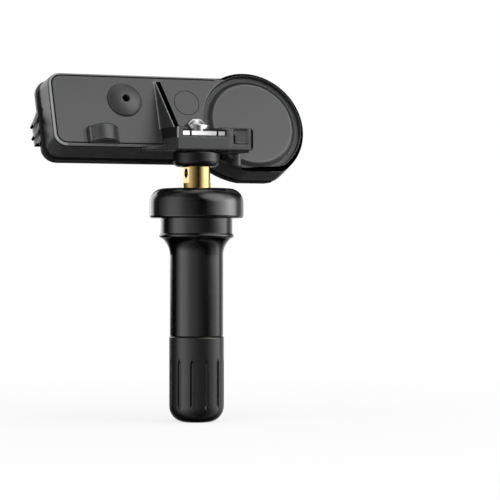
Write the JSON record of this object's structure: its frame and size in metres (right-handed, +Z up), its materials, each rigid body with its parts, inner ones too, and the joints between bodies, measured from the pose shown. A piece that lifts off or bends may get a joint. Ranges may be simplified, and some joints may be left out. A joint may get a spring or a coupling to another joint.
{
  "type": "tire pressure monitor",
  "caption": "Snap-in rubber tyre valve with a tilted pressure sensor case screwed to its inner end, a screw-on dust cap and a sprung valve core.",
  "frame": {"origin": "on the valve axis, at the flange face that seals against the wheel rim", "axes": "+Z up the valve into the tyre, toward the sensor; the dust cap hangs toward -Z; +X toward the battery end of the case; the sensor face looks toward -Y and leans back"},
  "size_m": [0.0568, 0.0277, 0.0716],
  "materials": {
    "case_grey": "fine moulded texture, semi-matte",
    "cover_black": "moulded, satin",
    "seal_black": "soft black gasket",
    "board_green": "solder-masked board",
    "cell_steel": "nickel-plated steel",
    "tab_nickel": "nickel strip",
    "chip_black": "moulded package",
    "ferrite": "sintered, dull",
    "copper_wire": "enamelled wire",
    "can_metal": "metal can",
    "chip_tan": "ceramic chips with tinned ends",
    "antenna_metal": "tinned brass strip",
    "bush_black": "dense black rubber",
    "washer_steel": "bright plated",
    "screw_steel": "bright plated",
    "brass": "turned and milled, bright",
    "valve_rubber": "smooth, glossy black",
    "core_brass": "turned",
    "core_seal_red": "soft seal",
    "spring_steel": "spring wire",
    "cap_black": "satin moulded plastic"
  },
  "bodies": {
    "sensor": {"housing": "case_grey", "back_cover": "cover_black", "cover_seal": "seal_black", "circuit_board": "board_green", "battery_cell": "cell_steel", "negative_tab": "tab_nickel", "positive_tab": "tab_nickel", "pressure_sensor": "chip_black", "port_seal": "core_seal_red", "ferrite_core": "ferrite", "coil_winding": "copper_wire", "control_chip": "chip_black", "crystal": "can_metal", "chip_parts": "chip_tan", "antenna_loop": "antenna_metal", "stem_bush": "bush_black", "washer_plate": "washer_steel", "torx_screw": "screw_steel", "brass_stem": "brass", "rubber_body": "valve_rubber", "core_barrel": "core_brass", "core_gasket": "core_seal_red", "core_spring": "spring_steel"},
    "cap_ring": {"cap_seal": "seal_black"},
    "cap": {"cap_shell": "cap_black"},
    "pin": {"core_pin": "core_brass", "core_cup": "seal_black"}
  },
  "joints": [
    {"name": "cap_slide", "type": "slide", "parent": "sensor", "child": "cap_ring", "axis": [0, 0, -1], "range_m": [0, 0.00635]},
    {"name": "cap_turn", "type": "hinge", "parent": "cap_ring", "child": "cap", "pos_m": [0, 0, -0.03], "axis": [0, 0, -1], "range_deg": [0, 2880]},
    {"name": "pin_press", "type": "slide", "parent": "sensor", "child": "pin", "axis": [0, 0, 1], "range_m": [0, 0.0012], "stiffness_N_per_m": 800, "deforming": ["core_spring"]}
  ],
  "couplings": [
    {"joint": "cap_turn", "follows": "cap_slide", "rad_per_m": 7913.3}
  ]
}
